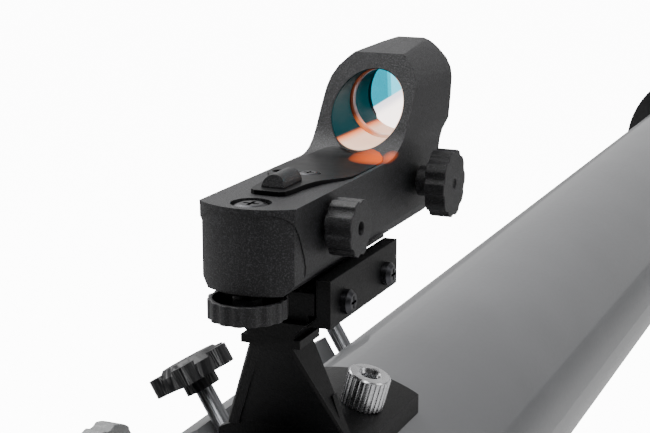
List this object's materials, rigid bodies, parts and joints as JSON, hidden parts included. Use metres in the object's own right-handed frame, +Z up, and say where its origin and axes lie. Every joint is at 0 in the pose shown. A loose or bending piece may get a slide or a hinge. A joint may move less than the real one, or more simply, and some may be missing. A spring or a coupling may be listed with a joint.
{
  "type": "dobsonian telescope",
  "caption": "Tabletop telescope: grey tube with dew shield, focuser, diagonal, eyepiece and reflex finder, on a single-arm alt-azimuth turntable.",
  "frame": {"origin": "on the azimuth axis, at the mouth of the tripod socket in the underside of the ground board", "axes": "+Y along the tube towards the sky, +Z up along the azimuth axis, +X to the right seen from the eyepiece; the altitude axis is parallel to X"},
  "size_m": [0.34, 0.947, 0.5826],
  "materials": {
    "tube_grey": "gloss grey lacquer on rolled aluminium tube",
    "black_metal": "satin black anodised or painted aluminium casting",
    "black_abs": "spark-textured black ABS",
    "gloss_abs": "polished black ABS",
    "aluminium": "turned, clear anodised",
    "steel": "zinc plated steel",
    "chrome": "knurled and chrome plated",
    "black_steel": "black oxide steel",
    "glass": "coated optical glass",
    "red_glass": "dichroic coated glass",
    "mirror": "aluminised flat",
    "rubber": "soft black rubber",
    "board": "particle board with a black grained laminate",
    "ptfe": "PTFE",
    "grey_plastic": "light grey ABS",
    "pcb": "green epoxy circuit board",
    "led": "clear red LED epoxy"
  },
  "bodies": {
    "base": {"ground_board": "board", "feet": "rubber", "azimuth_pads": "ptfe", "azimuth_pivot": "steel"},
    "rocker": {"azimuth_board": "board", "side_arm": "board", "arm_brace": "board", "altitude_washers": "ptfe"},
    "tube_assembly": {"main_tube": "tube_grey", "dew_shield": "black_abs", "objective_cell": "black_abs", "crown_lens": "glass", "flint_lens": "glass", "retaining_ring": "black_abs", "tube_baffles": "black_abs", "focuser_body": "black_metal", "pinion_cover": "black_metal", "focuser_screws": "steel", "finder_foot": "black_abs", "foot_studs": "steel", "finder_clamp_base": "black_abs", "finder_clamp_jaw": "black_abs", "clamp_screws": "black_steel", "dovetail_bar": "black_metal", "saddle_bracket": "black_metal", "altitude_axle": "steel"},
    "tension_knob": {"tension_knob": "grey_plastic"},
    "star_rear": {"star_knob_rear": "black_abs"},
    "star_front": {"star_knob_front": "black_abs"},
    "draw": {"drawtube": "aluminium", "focus_rack": "steel", "eyepiece_adapter": "black_metal"},
    "pinion": {"focus_pinion": "steel", "focus_knob_left": "black_metal", "focus_knob_right": "black_metal"},
    "focus_lock": {"focus_lock_screw": "steel"},
    "adapter_screw": {"adapter_thumbscrew": "chrome"},
    "diagonal_screw": {"diagonal_thumbscrew": "chrome"},
    "diagonal": {"diagonal_nose": "chrome", "diagonal_housing": "black_abs", "diagonal_mirror": "mirror", "eyepiece_barrel": "chrome", "eyepiece_body": "black_metal", "eyecup": "rubber", "eyepiece_lenses": "glass"},
    "nut_right": {"foot_nut_right": "chrome"},
    "nut_left": {"foot_nut_left": "chrome"},
    "swivel": {"finder_swivel": "black_abs"},
    "finder": {"finder_shell_left": "black_abs", "finder_shell_right": "black_abs", "finder_deck": "gloss_abs", "deck_screws": "black_steel", "led_hood": "black_abs", "led_emitter": "led", "finder_lens": "red_glass", "finder_battery": "steel", "circuit_board": "pcb"},
    "azimuth_knob": {"azimuth_knob": "black_abs"},
    "elevation_wheel": {"elevation_wheel": "black_abs"},
    "brightness_knob": {"brightness_knob": "black_abs"}
  },
  "joints": [
    {"name": "azimuth", "type": "hinge", "parent": "base", "child": "rocker", "pos_m": [0, 0, 0.02], "axis": [0, 0, 1], "continuous": true},
    {"name": "altitude", "type": "hinge", "parent": "rocker", "child": "tube_assembly", "pos_m": [-0.106, 0, 0.383], "axis": [1, 0, 0], "range_deg": [-10, 85]},
    {"name": "altitude_tension", "type": "hinge", "parent": "rocker", "child": "tension_knob", "pos_m": [-0.1265, 0, 0.383], "axis": [1, 0, 0], "range_deg": [-180, 180]},
    {"name": "saddle_knob_rear", "type": "hinge", "parent": "tube_assembly", "child": "star_rear", "pos_m": [-0.05917, -0.05, 0.44111], "axis": [-0.515, 0, 0.8572], "range_deg": [-360, 360]},
    {"name": "saddle_knob_front", "type": "hinge", "parent": "tube_assembly", "child": "star_front", "pos_m": [-0.05917, 0.05, 0.44111], "axis": [-0.515, 0, 0.8572], "range_deg": [-360, 360]},
    {"name": "focus_slide", "type": "slide", "parent": "tube_assembly", "child": "draw", "axis": [0, 1, 0], "range_m": [-0.035, 0.03]},
    {"name": "focus_pinion_turn", "type": "hinge", "parent": "tube_assembly", "child": "pinion", "pos_m": [0, -0.192, 0.4006], "axis": [1, 0, 0], "range_deg": [-362, 420]},
    {"name": "focus_lock", "type": "hinge", "parent": "tube_assembly", "child": "focus_lock", "pos_m": [0, -0.2, 0.47], "axis": [0, 0, 1], "range_deg": [-90, 90]},
    {"name": "adapter_clamp", "type": "hinge", "parent": "draw", "child": "adapter_screw", "pos_m": [0.03, -0.254, 0.43], "axis": [1, 0, 0], "range_deg": [-90, 90]},
    {"name": "diagonal_turn", "type": "hinge", "parent": "draw", "child": "diagonal", "pos_m": [0, -0.25, 0.43], "axis": [0, 1, 0], "range_deg": [-90, 90]},
    {"name": "diagonal_clamp", "type": "hinge", "parent": "diagonal", "child": "diagonal_screw", "pos_m": [0.025, -0.279, 0.459], "axis": [1, 0, 0], "range_deg": [-90, 90]},
    {"name": "foot_nut_right_turn", "type": "hinge", "parent": "tube_assembly", "child": "nut_right", "pos_m": [0.01319, -0.099, 0.47823], "axis": [0.2639, 0, 0.9646], "range_deg": [-360, 360]},
    {"name": "foot_nut_left_turn", "type": "hinge", "parent": "tube_assembly", "child": "nut_left", "pos_m": [-0.01319, -0.099, 0.47823], "axis": [-0.2639, 0, 0.9646], "range_deg": [-360, 360]},
    {"name": "finder_yaw", "type": "hinge", "parent": "tube_assembly", "child": "swivel", "pos_m": [0, -0.1, 0.516], "axis": [0, 0, 1], "range_deg": [-1, 1]},
    {"name": "finder_pitch", "type": "hinge", "parent": "swivel", "child": "finder", "pos_m": [0, -0.0595, 0.5298], "axis": [1, 0, 0], "range_deg": [-0.5, 0.5]},
    {"name": "azimuth_knob_turn", "type": "hinge", "parent": "swivel", "child": "azimuth_knob", "pos_m": [0.02, -0.0595, 0.5298], "axis": [1, 0, 0], "range_deg": [-240, 240]},
    {"name": "elevation_wheel_turn", "type": "hinge", "parent": "swivel", "child": "elevation_wheel", "pos_m": [0, -0.1462, 0.513], "axis": [0, 0, 1], "range_deg": [-360, 360]},
    {"name": "brightness_turn", "type": "hinge", "parent": "finder", "child": "brightness_knob", "pos_m": [0.018, -0.125, 0.531], "axis": [1, 0, 0], "range_deg": [0, 270]}
  ],
  "couplings": [
    {"joint": "focus_pinion_turn", "follows": "focus_slide", "rad_per_m": -208.33},
    {"joint": "finder_yaw", "follows": "azimuth_knob_turn", "ratio": 0.0041667},
    {"joint": "finder_pitch", "follows": "elevation_wheel_turn", "ratio": 0.0013889}
  ]
}
